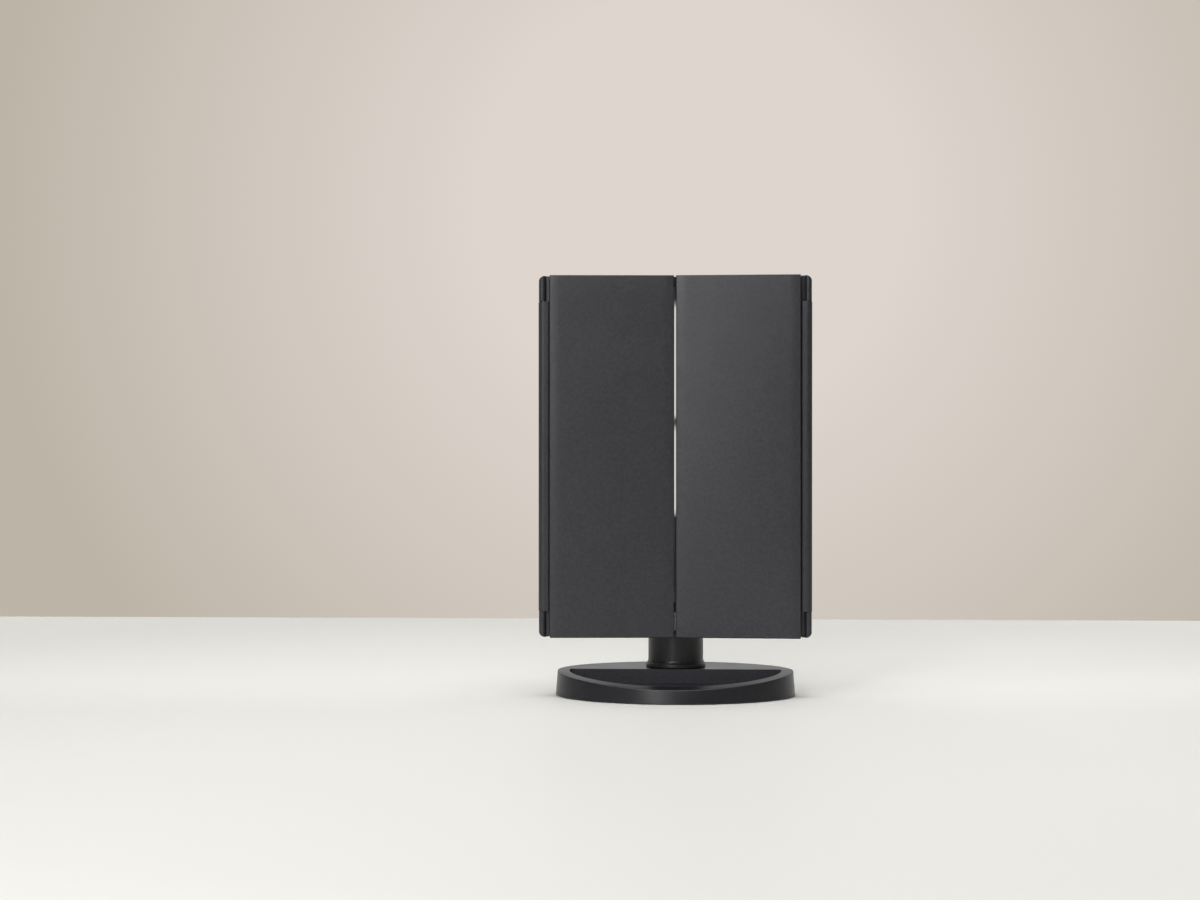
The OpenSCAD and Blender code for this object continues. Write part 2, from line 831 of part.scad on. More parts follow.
module battery_contacts() {
    color(copper)
    for (side = [LEFT, RIGHT])
        for (i = [0 : cells - 1]) {
            z = bay_z + 0.5 + cell_pitch * (i + 0.5);
            x_wall = side * bay_half;
            x_in = side * (bay_half - contact_t);
            block([min(x_wall, x_in), cell_y - 4, z - 4], [max(x_wall, x_in), cell_y + 4, z + 4]);
            translate([x_in, cell_y, z])
                rotate([0, -side * 90, 0])
                    cylinder(r1 = 3.4, r2 = 2.2, h = contact_room - contact_t, $fn = 48);
        }
}

module tilt_bracket() {
    color(satin_black)
    difference() {
        union() {
            block([-24, panel_back, pivot_z - 17], [24, panel_back + bracket_t, pivot_z + 17]);
            block([-tongue_w / 2, panel_back + 1, pivot_z - tongue_half],
                  [tongue_w / 2, neck_y, pivot_z + tongue_half]);
            translate([-tongue_w / 2, neck_y, pivot_z])
                rotate([0, 90, 0])
                    cylinder(r = tongue_r, h = tongue_w, $fn = fine);
        }
        translate([-20, neck_y, pivot_z])
            rotate([0, 90, 0])
                cylinder(r = axle_r + axle_fit, h = 40, $fn = fine);
        for (spot = bracket_screw_spots())
            translate([spot[0], panel_back + bracket_t + 1, spot[1]])
                rotate([90, 0, 0])
                    cylinder(r = through_r, h = bracket_t + 2, $fn = fine);
    }
}

module bracket_screws() {
    color(steel)
    for (spot = bracket_screw_spots())
        translate([spot[0], panel_back + bracket_t, spot[1]])
            rotate([90, 0, 0])
                pan_screw(bracket_t + 4);
}

module housing_screws() {
    color(steel)
    for (spot = housing_screw_spots())
        translate([spot[0], panel_back - screw_sink, spot[1]])
            rotate([90, 0, 0])
                pan_screw(6.4);
}

module hinge_pins(side) {
    color(steel)
    for (z = [panel_z0 + ear_h - pin_grip, panel_z1 - ear_h - barrel_gap - pin_grip])
        translate([side * hinge_x, hinge_y, z])
            cylinder(r = pin_r, h = 2 * pin_grip + barrel_gap, $fn = fine);
}

module frame_bumpers() {
    color(rubber_black)
    for (side = [LEFT, RIGHT])
        for (z = [frame_z0 + 3, frame_z1 - 3])
            translate([side * 8, panel_front, z])
                rotate([90, 0, 0])
                    cylinder(r = 2, h = wing_gap - clearance, $fn = fine);
}

// ---- Wings ----

// Places of the pockets for the mirrors, as [z0, z1] from the wing's bottom to its top
function wing_pockets(side) =
    let (z0 = wing_z0 + wing_rim, z1 = wing_z1 - wing_rim, mid = (wing_z0 + wing_z1) / 2)
        side == LEFT ? [[z0, mid - glass_bar / 2], [mid + glass_bar / 2, z1]] : [[z0, z1]];

module wing_frame(side) {
    color(charcoal)
    in_wing(side)
    difference() {
        union() {
            block([wing_edge, -wing_frame_t, wing_z0], [wing_reach, 0, wing_z1]);
            block([0, -web_t, barrel_z0], [wing_edge + 1, 0, barrel_z1]);
            // The barrel is round outside and square towards the cover
            block([0, -barrel_r, barrel_z0], [barrel_r, 0, barrel_z1]);
            translate([0, 0, barrel_z0])
                cylinder(r = barrel_r, h = barrel_z1 - barrel_z0, $fn = fine);
        }
        for (pocket = wing_pockets(side))
            block([wing_edge + wing_rim, -glass_depth, pocket[0]], [wing_reach - wing_rim, 1, pocket[1]]);
        for (z = [barrel_z0 - 1, barrel_z1 - pin_grip])
            translate([0, 0, z])
                cylinder(r = pin_r + pin_fit, h = pin_grip + 1, $fn = fine);
    }
}

module wing_cover(side) {
    color(charcoal)
    in_wing(side)
    difference() {
        block([wing_edge, -wing_t, wing_z0], [wing_reach, -wing_frame_t, wing_z1]);
        block([wing_edge + cover_t, -wing_t + cover_t, wing_z0 + cover_t],
              [wing_reach - cover_t, -wing_frame_t + 1, wing_z1 - cover_t]);
    }
}

module wing_mirror(side, index) {
    pocket = wing_pockets(side)[index];
    color(silver)
    in_wing(side)
        block([wing_edge + wing_rim + glass_gap, -glass_depth, pocket[0] + glass_gap],
              [wing_reach - wing_rim - glass_gap, -glass_inset, pocket[1] - glass_gap]);
}

// ---- Battery door ----

module battery_door() {
    half = bay_half + groove_in;
    z0 = bay_z - groove_in + 0.1;
    z1 = bay_z + bay_h + bay_wall;
    color(charcoal)
    difference() {
        union() {
            block([-half, door_y, z0], [half, door_y + door_t, z1]);
            block([-bay_half + 1, door_y + 0.5, bay_z + 1], [bay_half - 1, bay_back, z1]);
        }
        for (i = [0 : 4])
            block([-9, bay_back - 0.6, z1 - 12 + 2 * i], [9, bay_back + 1, z1 - 11 + 2 * i]);
    }
}

base_shell();
base_plate();
counterweight();
base_pad();
base_screws();
neck_collar();
neck_pillar();
neck_screws();
tilt_axle();
tilt_nut();
friction_washers();
axle_caps();
rear_housing();
front_frame();
centre_mirror();
light_diffuser(LEFT);  // left_light_diffuser
light_diffuser(RIGHT);  // right_light_diffuser
led_strip(LEFT);  // left_led_strip
led_strip(RIGHT);  // right_led_strip
touch_key();
touch_board();
control_board();
switch_body();
usb_socket();
lead_wires();
battery_cell(0);  // battery_cell_1
battery_cell(1);  // battery_cell_2
battery_cell(2);  // battery_cell_3
battery_cell(3);  // battery_cell_4
battery_contacts();
tilt_bracket();
bracket_screws();
housing_screws();
hinge_pins(LEFT);  // left_hinge_pins
hinge_pins(RIGHT);  // right_hinge_pins
frame_bumpers();
wing_frame(LEFT);  // left_wing_frame
wing_cover(LEFT);  // left_wing_cover
wing_mirror(LEFT, 1);  // left_upper_mirror
wing_mirror(LEFT, 0);  // left_lower_mirror
wing_frame(RIGHT);  // right_wing_frame
wing_cover(RIGHT);  // right_wing_cover
wing_mirror(RIGHT, 0);  // right_mirror
battery_door();
switch_slider();
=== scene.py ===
import json
import math

import bmesh
import bpy
from bpy.props import FloatProperty, FloatVectorProperty, PointerProperty
from bpy.types import Operator, Panel, PropertyGroup
from mathutils import Matrix, Vector


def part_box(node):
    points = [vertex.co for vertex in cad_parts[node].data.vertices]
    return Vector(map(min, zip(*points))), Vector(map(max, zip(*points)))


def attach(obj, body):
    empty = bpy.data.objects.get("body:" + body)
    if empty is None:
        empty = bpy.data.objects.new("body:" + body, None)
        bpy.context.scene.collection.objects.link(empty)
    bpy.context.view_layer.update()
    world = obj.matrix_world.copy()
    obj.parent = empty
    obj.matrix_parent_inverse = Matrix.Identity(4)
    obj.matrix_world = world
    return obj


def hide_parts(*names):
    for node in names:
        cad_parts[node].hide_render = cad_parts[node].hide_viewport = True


bl_info = {
    "name": "Trifold Vanity Mirror",
    "version": (1, 0, 0),
    "blender": (4, 5, 0),
    "location": "3D View > Sidebar > Mirror",
    "description": "Dresses a trifold vanity mirror on its packed frame",
    "category": "Object",
}

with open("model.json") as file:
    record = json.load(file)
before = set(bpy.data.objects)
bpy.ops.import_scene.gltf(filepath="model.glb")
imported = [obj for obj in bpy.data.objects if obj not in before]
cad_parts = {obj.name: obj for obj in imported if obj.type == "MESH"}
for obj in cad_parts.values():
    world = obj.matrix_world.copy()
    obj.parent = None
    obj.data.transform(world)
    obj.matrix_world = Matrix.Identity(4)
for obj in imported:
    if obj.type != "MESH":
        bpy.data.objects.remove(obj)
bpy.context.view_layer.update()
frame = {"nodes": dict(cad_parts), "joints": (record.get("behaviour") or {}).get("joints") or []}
NODES = frame["nodes"]
MM = 0.001
LEFT, RIGHT = -1, 1
UP = Vector((0.0, 0.0, 1.0))
BASE_LOW, BASE_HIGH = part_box("base_shell")


# ---- Sizes, finishes and stage settings ----

def length(name, description, default):
    return FloatProperty(name=name, description=description, default=default, min=0.0,
                         precision=5, subtype="DISTANCE", unit="LENGTH")


def colour(name, description, default):
    return FloatVectorProperty(name=name, description=description, default=default,
                               size=3, min=0.0, max=1.0, subtype="COLOR")


class MirrorSizes(PropertyGroup):
    base_width: length("Base width", "Width of the oval base at its foot",
                       BASE_HIGH.x - BASE_LOW.x)
    base_depth: length("Base depth", "Depth of the oval base at its foot",
                       BASE_HIGH.y - BASE_LOW.y)
    deck_height: length("Deck height", "Height of the flat rear deck", BASE_HIGH.z)
    front_height: length("Front height", "Height of the base's top at its front", 9.2 * MM)
    foot_height: length("Foot height", "Height of the shell's lower edge", BASE_LOW.z)
    foot_flare: length("Wall lean", "How far the wall leans out at its foot", 1.2 * MM)
    tray_rim: length("Tray rim", "Width of the rim round the tray", 8.0 * MM)
    tray_floor: length("Tray floor", "Height of the tray's floor", 7.0 * MM)
    chord: FloatProperty(name="Tray back", description="Place of the tray's straight back wall",
                         default=4.6 * MM, precision=5, subtype="DISTANCE", unit="LENGTH")
    tray_edge: length("Tray edge", "Radius of the tray's upper and lower edges", 0.5 * MM)
    shell_wall: length("Shell wall", "Thickness of the base shell's wall at its foot", 2.0 * MM)
    cover_edge: length("Cover edge", "Radius of the wing covers' edges", 0.6 * MM)
    small_edge: length("Small edge", "Radius of the edges of the other mouldings", 0.3 * MM)
    glass_edge: length("Glass edge", "Width of the ground edge of the mirrors", 0.5 * MM)
    left_crown: length("Left crown", "How far the middle of the left cover swells out", 0.2 * MM)
    right_crown: length("Right crown", "How far the middle of the right cover swells out",
                        0.55 * MM)
    upper_curve: length("Upper curve", "Radius of curvature of the upper magnifying mirror", 1.35)
    lower_curve: length("Lower curve", "Radius of curvature of the lower magnifying mirror", 2.0)


class MirrorFinishes(PropertyGroup):
    charcoal: colour("Charcoal", "Colour of the head's moulded plastic", (0.0310, 0.0310, 0.0375))
    satin: colour("Satin black", "Colour of the base and neck", (0.0122, 0.0122, 0.0157))
    silver: colour("Silvering", "Colour of the mirrors", (0.90, 0.915, 0.91))
    milk: colour("Milk white", "Colour of the light diffusers", (0.84, 0.84, 0.81))
    steel: colour("Steel", "Colour of the screws, pins and washers", (0.56, 0.57, 0.58))
    board: colour("Board", "Colour of the circuit boards", (0.016, 0.115, 0.045))
    jacket: colour("Cell jacket", "Colour of the battery cells' sleeves", (0.30, 0.33, 0.36))
    copper: colour("Contacts", "Colour of the battery contacts", (0.72, 0.60, 0.42))
    rubber: colour("Rubber", "Colour of the pad and bumpers", (0.018, 0.018, 0.018))
    wire: colour("Wire", "Colour of the leads", (0.42, 0.03, 0.02))


class MirrorStage(PropertyGroup):
    table: colour("Table", "Colour of the table", (0.97, 0.96, 0.915))
    # painted light: how much paler the camera alone sees parts of the table than the lamps light
    # them
    table_glow: FloatProperty(
        name="Table glow", description="How much paler the far half of the table looks than lit",
        default=0.08, min=0.0)
    side_glow: FloatProperty(
        name="Side glow", description="How much paler the table's right half looks than lit",
        default=0.07, min=0.0)
    far_glow: FloatProperty(
        name="Far glow", description="How much paler the table looks far from the lamps than lit",
        default=0.6, min=0.0)
    # painted light and painted shade: the wall's colour at its lit spot and towards its edges
    wall_light: colour("Lit wall", "Colour of the wall where it is brightest",
                       (0.725, 0.665, 0.615))
    wall_shade: colour("Shaded wall", "Colour of the wall towards its edges",
                       (0.505, 0.455, 0.385))
    wall_gloss: colour("Wall in gloss", "Colour of the wall in reflections", (0.66, 0.66, 0.66))
    room: FloatProperty(name="Room light", description="Strength of the light from all sides",
                        default=0.02, min=0.0)
    lamps: FloatProperty(name="Lamps", description="Share of every lamp's power that is used",
                         default=1.0, min=0.0)
    lamp_distance: length("Lamp distance", "Distance of the lamps from the head", 1.6)
    table_end: length("Table end", "Distance of the table's far edge", 0.627)
    table_start: FloatProperty(name="Table start", description="Place of the table's near edge",
                               default=-0.85, subtype="DISTANCE", unit="LENGTH")
    wall_place: length("Wall place", "Distance of the wall behind the table", 1.7)
    lens: FloatProperty(name="Lens", description="Focal length of the camera in millimetres",
                        default=68.19, min=1.0)
    yaw: FloatProperty(name="Yaw", description="Turn of the camera to the left",
                       default=math.radians(2.6), subtype="ANGLE", unit="ROTATION")
    pitch: FloatProperty(name="Pitch", description="Dip of the camera below level",
                         default=math.radians(0.32), subtype="ANGLE", unit="ROTATION")


def sizes():
    return bpy.context.scene.mirror_sizes


def finishes():
    return bpy.context.scene.mirror_finishes


def stage_settings():
    return bpy.context.scene.mirror_stage


# Widths of edges that are rounded more or less than the rest
POST_EDGE = 1.2 * MM
CAP_EDGE = 0.4 * MM
COLLAR_EDGE = 0.15 * MM
KNOB_EDGE = 0.12 * MM

# The base shell's foot: its upright toe outside and inside, and the wall under the tray
OUTER_TOE = 0.4 * MM
INNER_TOE = 2 * MM
TRAY_WALL = 1.6 * MM

# Where each part of the table with painted light starts and where it is palest, and where painted
# shade darkens
# # the table towards the camera: by depth, by distance from the object, by width and by depth
FAR_HALF = (-0.10, 0.08)
FAR_ENDS = (0.65, 2.4)
RIGHT_HALF = (0.02, 0.25)
NEAR_PART = (-0.85, 0.0)
NEAR_PAINTED_SHADE = 0.86

# The wall's painted pool of light: its height, and where painted shade darkens the wall round it
# and where it pales again
WALL_SPOT = 0.50
WALL_DARKENS = (0.3, 1.0)
WALL_PALES = (1.1, 2.5)

STAGE_REACH = 3.0
WALL_FOOT = -0.6
CAMERA_PLACE = (0.01840, -1.50071, 0.170)
SENSOR_WIDTH = 36.0
LAMP_TARGET = Vector((0.0, 0.0, 0.12))

# Soft lamps: turn from the front and height in degrees, width in metres, power in watts
LAMPS = (
    ("overhead lamp", 0, 88, 1.0, 17.2), ("upper front lamp", 0, 68, 0.8, 3.1),
    ("left lamp", -50, 26, 0.35, 2.4), ("front left lamp", -22, 26, 0.35, 4.7),
    ("low front lamp", -14, 13, 0.35, 1.9), ("front right lamp", 4, 26, 0.35, 1.4),
    ("table lamp", -14, 4, 0.35, 1.0), ("back lamp", -150, 45, 0.8, 0.9),
)

# How bright the room is in reflections, by the sine of the height above eye level
ROOM_LEVELS = (
    (-0.25, 0.30), (-0.12, 0.10), (-0.078, 0.02), (-0.0345, 0.02), (-0.0325, 0.72), (0.0036, 0.72),
    (0.0045, 0.05), (0.0081, 0.05), (0.0090, 0.72), (0.0575, 0.72), (0.0590, 0.02), (0.070, 0.02),
    (0.12, 0.10), (0.24, 0.30),
)


# ---- Node helpers for the finishes ----

class Nodes:
    """A cleared node tree and the few kinds of node that the finishes share."""

    def __init__(self, owner, place):
        owner.use_nodes = True
        self.tree = owner.node_tree
        self.tree.nodes.clear()
        self.place = self.node("ShaderNodeTexCoord").outputs[place]

    def node(self, kind, **settings):
        made = self.tree.nodes.new(kind)
        for key, value in settings.items():
            setattr(made, key, value)
        return made

    def join(self, source, target):
        self.tree.links.new(source, target)

    def put(self, socket, value):
        """Sets a socket to a constant, or joins it to another socket."""
        if isinstance(value, bpy.types.NodeSocket):
            self.join(value, socket)
        else:
            socket.default_value = value

    def moved(self, scale=(1.0, 1.0, 1.0), location=(0.0, 0.0, 0.0), rotation=(0.0, 0.0, 0.0)):
        mapping = self.node("ShaderNodeMapping")
        self.join(self.place, mapping.inputs["Vector"])
        mapping.inputs["Scale"].default_value = scale
        mapping.inputs["Location"].default_value = location
        mapping.inputs["Rotation"].default_value = rotation
        return mapping.outputs["Vector"]

    def noise(self, scale, detail=3.0, roughness=0.5, vector=None):
        made = self.node("ShaderNodeTexNoise")
        self.join(vector or self.place, made.inputs["Vector"])
        made.inputs["Scale"].default_value = scale
        made.inputs["Detail"].default_value = detail
        made.inputs["Roughness"].default_value = roughness
        return made.outputs["Fac"]

    def cells(self, scale):
        made = self.node("ShaderNodeTexVoronoi")
        self.join(self.place, made.inputs["Vector"])
        made.inputs["Scale"].default_value = scale
        return made.outputs["Distance"]

    def maths(self, operation, first, second=0.0):
        made = self.node("ShaderNodeMath", operation=operation)
        self.put(made.inputs[0], first)
        self.put(made.inputs[1], second)
        return made.outputs["Value"]

    def spread(self, value, low, high, new_low, new_high):
        made = self.node("ShaderNodeMapRange")
        self.join(value, made.inputs["Value"])
        for key, number in (("From Min", low), ("From Max", high),
                            ("To Min", new_low), ("To Max", new_high)):
            made.inputs[key].default_value = number
        return made.outputs["Result"]

    def blend(self, factor, first, second):
        made = self.node("ShaderNodeMix", data_type="RGBA")
        self.put(made.inputs["Factor"], factor)
        for key, value in ((6, first), (7, second)):
            if isinstance(value, bpy.types.NodeSocket):
                self.join(value, made.inputs[key])
            else:
                made.inputs[key].default_value = (*value[:3], 1.0)
        return made.outputs[2]

    def axis(self, name):
        made = self.node("ShaderNodeSeparateXYZ")
        self.join(self.place, made.inputs["Vector"])
        return made.outputs[name]

    def relief(self, height, depth, strength=1.0, under=None):
        made = self.node("ShaderNodeBump")
        made.inputs["Strength"].default_value = strength
        made.inputs["Distance"].default_value = depth
        self.join(height, made.inputs["Height"])
        if under is not None:
            self.join(under, made.inputs["Normal"])
        return made.outputs["Normal"]

    def camera_ray(self):
        """1 for what the camera sees itself, and 0 for the rest."""
        return self.node("ShaderNodeLightPath").outputs["Is Camera Ray"]

    def seen(self):
        """1 for what the camera or a reflection sees, and 0 for light that a surface scatters."""
        path = self.node("ShaderNodeLightPath").outputs
        direct = self.maths("MAXIMUM", path["Is Camera Ray"], path["Is Glossy Ray"])
        return self.maths("MAXIMUM", direct, path["Is Transmission Ray"])


class Finish(Nodes):
    """A material with one principled shader."""

    def __init__(self, name):
        self.material = bpy.data.materials.new(name)
        super().__init__(self.material, "Object")
        self.shader = self.node("ShaderNodeBsdfPrincipled")
        output = self.node("ShaderNodeOutputMaterial")
        self.join(self.shader.outputs["BSDF"], output.inputs["Surface"])

    def set(self, **values):
        """Sets the shader's sockets by name, with underscores for spaces."""
        for key, value in values.items():
            socket = self.shader.inputs[key.replace("_", " ")]
            if isinstance(value, tuple) and len(value) == 3 and socket.type == "RGBA":
                value = (*value, 1.0)
            self.put(socket, value)
        return self


def shade(tint, factor):
    return tuple(channel * factor for channel in tint)


def moulded_plastic(name, tint, gloss, grain, grain_depth):
    """Spark-eroded moulded plastic: a fine grain, cloudy gloss and faint specks of dust."""
    made = Finish(name)
    fine = made.noise(1.0 / grain, 2.0, 0.6)
    coarse = made.noise(0.22 / grain, 3.0, 0.55)
    cloud = made.maths("ADD", made.noise(26.0, 3.0, 0.6), made.noise(60.0, 2.0, 0.5))
    dust = made.spread(made.noise(2100.0, 1.0, 0.4), 0.735, 0.80, 0.0, 0.35)
    patches = made.spread(coarse, 0.35, 0.65, 0.0, 1.0)
    body = made.blend(patches, shade(tint, 0.84), shade(tint, 1.16))
    # roughness that dips under 0.28 leaves dark blotches in a denoised picture
    made.set(
        Base_Color=made.blend(dust, body, shade(tint, 2.4)),
        Roughness=made.spread(cloud, 0.7, 1.3, gloss - 0.01, gloss + 0.05),
        Normal=made.relief(fine, grain_depth, 0.8, made.relief(coarse, grain_depth * 1.5, 0.35)),
    )
    return made


def charcoal_plastic():
    made = moulded_plastic("charcoal moulding", tuple(finishes().charcoal), 0.30, 0.45 * MM,
                           0.03 * MM)
    return made.set(IOR=1.46).material


def satin_plastic():
    made = moulded_plastic("satin black moulding", tuple(finishes().satin), 0.29, 0.6 * MM,
                           0.008 * MM)
    return made.set(IOR=1.44).material


def tray_with_painted_light():
    """The satin made rougher for the tray, and 2.8 times paler: painted light in the tray."""
    made = moulded_plastic("matt tray moulding with painted light", shade(tuple(finishes().satin), 2.8), 0.5,
                           0.4 * MM, 0.02 * MM)
    return made.set(IOR=1.44).material


def silvering():
    """Silvered glass with a trace of handling: faint smears that only soften the reflection."""
    made = Finish("silvered glass")
    wiped = made.moved(scale=(1.0, 1.0, 0.35), rotation=(0.0, 0.5, 0.0))
    smear = made.noise(38.0, 4.0, 0.62, wiped)
    speck = made.spread(made.noise(1500.0, 1.0, 0.4), 0.76, 0.82, 0.0, 0.25)
    tint = tuple(finishes().silver)
    made.set(
        Base_Color=made.blend(speck, tint, shade(tint, 0.75)),
        Metallic=1.0,
        Roughness=made.spread(smear, 0.45, 0.75, 0.008, 0.03),
    )
    return made.material


def ground_glass():
    """The ground edge and painted back of the mirrors."""
    made = Finish("ground glass edge")
    scratch = made.noise(900.0, 2.0, 0.6, made.moved(scale=(1.0, 1.0, 0.08)))
    made.set(
        Base_Color=made.blend(scratch, (0.20, 0.27, 0.25), (0.34, 0.41, 0.38)),
        Roughness=made.spread(scratch, 0.3, 0.7, 0.22, 0.38),
        Normal=made.relief(scratch, 0.01 * MM, 0.5),
    )
    return made.material


def milk_plastic():
    """Milky diffuser plastic with a faint haze and a fine frosting."""
    made = Finish("milk white plastic")
    tint = tuple(finishes().milk)
    haze = made.noise(60.0, 3.0, 0.5)
    frost = made.noise(2600.0, 2.0, 0.6)
    made.set(
        Base_Color=made.blend(haze, shade(tint, 0.96), tint),
        Roughness=made.spread(haze, 0.3, 0.7, 0.34, 0.42),
        Subsurface_Weight=0.15,
        Subsurface_Scale=0.002,
        Normal=made.relief(frost, 0.01 * MM, 0.5),
    )
    return made.material


def brushed_steel():
    """Plated steel with turned marks and small stains."""
    made = Finish("plated steel")
    tint = tuple(finishes().steel)
    turned = made.noise(1800.0, 3.0, 0.6, made.moved(scale=(0.25, 0.25, 1.0)))
    stain = made.noise(160.0, 4.0, 0.6)
    made.set(
        Base_Color=made.blend(made.spread(stain, 0.4, 0.75, 0.0, 1.0), tint, shade(tint, 0.72)),
        Metallic=1.0,
        Roughness=made.spread(turned, 0.3, 0.7, 0.24, 0.40),
        Normal=made.relief(turned, 0.006 * MM, 0.5),
    )
    return made.material


def dull_weight():
    """A pressed iron weight: mill scale, pits and a trace of rust."""
    made = Finish("pressed iron")
    scale = made.noise(240.0, 5.0, 0.65)
    rust = made.spread(made.noise(70.0, 4.0, 0.6), 0.58, 0.72, 0.0, 0.8)
    made.set(
        Base_Color=made.blend(rust, (0.22, 0.22, 0.225), (0.20, 0.09, 0.04)),
        Metallic=made.spread(rust, 0.0, 0.8, 0.9, 0.1),
        Roughness=made.spread(scale, 0.3, 0.7, 0.42, 0.62),
        Normal=made.relief(scale, 0.05 * MM, 0.6),
    )
    return made.material


def pad_rubber():
    """Foamed rubber with open pores and pale and dark flecks."""
    made = Finish("foam rubber")
    tint = tuple(finishes().rubber)
    pores = made.cells(900.0)
    fleck = made.noise(420.0, 3.0, 0.6)
    made.set(
        Base_Color=made.blend(fleck, shade(tint, 0.75), shade(tint, 1.5)),
        Roughness=made.spread(fleck, 0.3, 0.7, 0.78, 0.92),
        Normal=made.relief(pores, 0.12 * MM, 0.7),
    )
    return made.material


def solder_mask():
    """Green boards with tracks under the mask and small bright pads."""
    made = Finish("circuit board")
    tint = tuple(finishes().board)
    shifted = made.moved(location=(0.0004, 0.0, 0.0003))
    tracks = made.node("ShaderNodeTexBrick", offset=0.5, squash=1.4, squash_frequency=3)
    made.join(shifted, tracks.inputs["Vector"])
    tracks.inputs["Scale"].default_value = 330.0
    tracks.inputs["Mortar Size"].default_value = 0.03
    line = tracks.outputs["Fac"]
    pads = made.spread(made.cells(430.0), 0.10, 0.14, 1.0, 0.0)
    body = made.blend(made.spread(line, 0.0, 1.0, 0.0, 0.6), tint, shade(tint, 2.2))
    made.set(
        Base_Color=made.blend(pads, body, (0.62, 0.60, 0.52)),
        Metallic=made.spread(pads, 0.0, 1.0, 0.0, 0.8),
        Roughness=made.spread(made.noise(300.0), 0.3, 0.7, 0.26, 0.36),
        Normal=made.relief(line, 0.03 * MM, 0.4),
    )
    return made.material


def cell_sleeve():
    """Shrunk plastic sleeve of a battery cell: a dark band, a pale body and bare ends."""
    made = Finish("cell sleeve")
    tint = tuple(finishes().jacket)
    along = made.maths("ABSOLUTE", made.axis("X"))
    end = made.spread(along, 0.0210, 0.0211, 0.0, 1.0)
    band = made.spread(made.axis("X"), 0.0120, 0.0122, 0.0, 1.0)
    scuff = made.noise(240.0, 4.0, 0.6, made.moved(scale=(0.3, 1.0, 1.0)))
    sleeve = made.blend(band, tint, shade(tint, 0.16))
    body = made.blend(made.spread(scuff, 0.55, 0.75, 0.0, 0.3), sleeve, (0.62, 0.62, 0.62))
    made.set(
        Base_Color=made.blend(end, body, (0.70, 0.70, 0.71)),
        Metallic=made.spread(end, 0.0, 1.0, 0.35, 1.0),
        Roughness=made.spread(scuff, 0.3, 0.7, 0.24, 0.36),
        Normal=made.relief(scuff, 0.015 * MM, 0.4),
    )
    return made.material


def sprung_contact():
    """Contact springs with rings of wire and patches of tarnish."""
    made = Finish("contact metal")
    tint = tuple(finishes().copper)
    tarnish = made.noise(380.0, 4.0, 0.6)
    rings = made.noise(1600.0, 1.0, 0.5, made.moved(scale=(1.6, 0.2, 0.2)))
    made.set(
        Base_Color=made.blend(made.spread(tarnish, 0.4, 0.7, 0.0, 1.0), tint, shade(tint, 0.6)),
        Metallic=1.0,
        Roughness=made.spread(tarnish, 0.3, 0.7, 0.22, 0.4),
        Normal=made.relief(rings, 0.08 * MM, 0.6),
    )
    return made.material


def wire_sleeve():
    """Thin sleeved wire with a fine drawn grain."""
    made = Finish("wire sleeve")
    tint = tuple(finishes().wire)
    drawn = made.noise(1400.0, 2.0, 0.6)
    made.set(
        Base_Color=made.blend(drawn, shade(tint, 0.75), tint),
        Roughness=made.spread(drawn, 0.3, 0.7, 0.38, 0.5),
        Normal=made.relief(drawn, 0.01 * MM, 0.4),
    )
    return made.material


def knob_plastic():
    made = moulded_plastic("knob moulding", (0.010, 0.010, 0.0105), 0.42, 0.3 * MM, 0.012 * MM)
    return made.material


# ---- Mesh helpers ----

def finish_piece(bm, name, body, replaced, materials, sharp=35.0, weighted=True):
    """Turns a bmesh into a piece that rides on a body and stands for CAD nodes."""
    mesh = bpy.data.meshes.new(name)
    for face in bm.faces:
        face.smooth = True
    bm.to_mesh(mesh)
    bm.free()
    mesh.set_sharp_from_angle(angle=math.radians(sharp))
    for material in materials:
        mesh.materials.append(material)
    piece = bpy.data.objects.new(name, mesh)
    bpy.context.scene.collection.objects.link(piece)
    if weighted:
        level = piece.modifiers.new("even shading", "WEIGHTED_NORMAL")
        level.keep_sharp = True
        level.weight = 80
    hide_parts(*replaced)
    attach(piece, body)
    return piece


def ease(bm, width, segments, angle=28.0, chosen=None):
    """Rounds the edges that turn by more than an angle."""
    limit = math.radians(angle)
    edges = [e for e in bm.edges
             if len(e.link_faces) == 2 and e.calc_face_angle(0.0) > limit
             and (chosen is None or chosen(e))]
    bmesh.ops.bevel(bm, geom=edges, offset=width, offset_type="OFFSET", affect="EDGES",
                    segments=segments, profile=0.5, material=-1, clamp_overlap=True)


def merged_copy(node):
    """A bmesh of a CAD node with its loose triangles merged into whole faces."""
    bm = bmesh.new()
    bm.from_mesh(NODES[node].data)
    bmesh.ops.remove_doubles(bm, verts=bm.verts, dist=1e-7)
    bmesh.ops.dissolve_limit(bm, angle_limit=math.radians(0.4), verts=bm.verts, edges=bm.edges)
    return bm


def eased_copy(node, name, body, material, width):
    """A piece with the shape of a CAD node and its edges rounded."""
    bm = merged_copy(node)
    ease(bm, width, 2)
    return finish_piece(bm, name, body, [node], [material])


def dress(material, *nodes):
    """Gives CAD nodes that keep their own mesh a finish."""
    for node in nodes:
        mesh = NODES[node].data
        mesh.materials.clear()
        mesh.materials.append(material)


# ---- Base ----

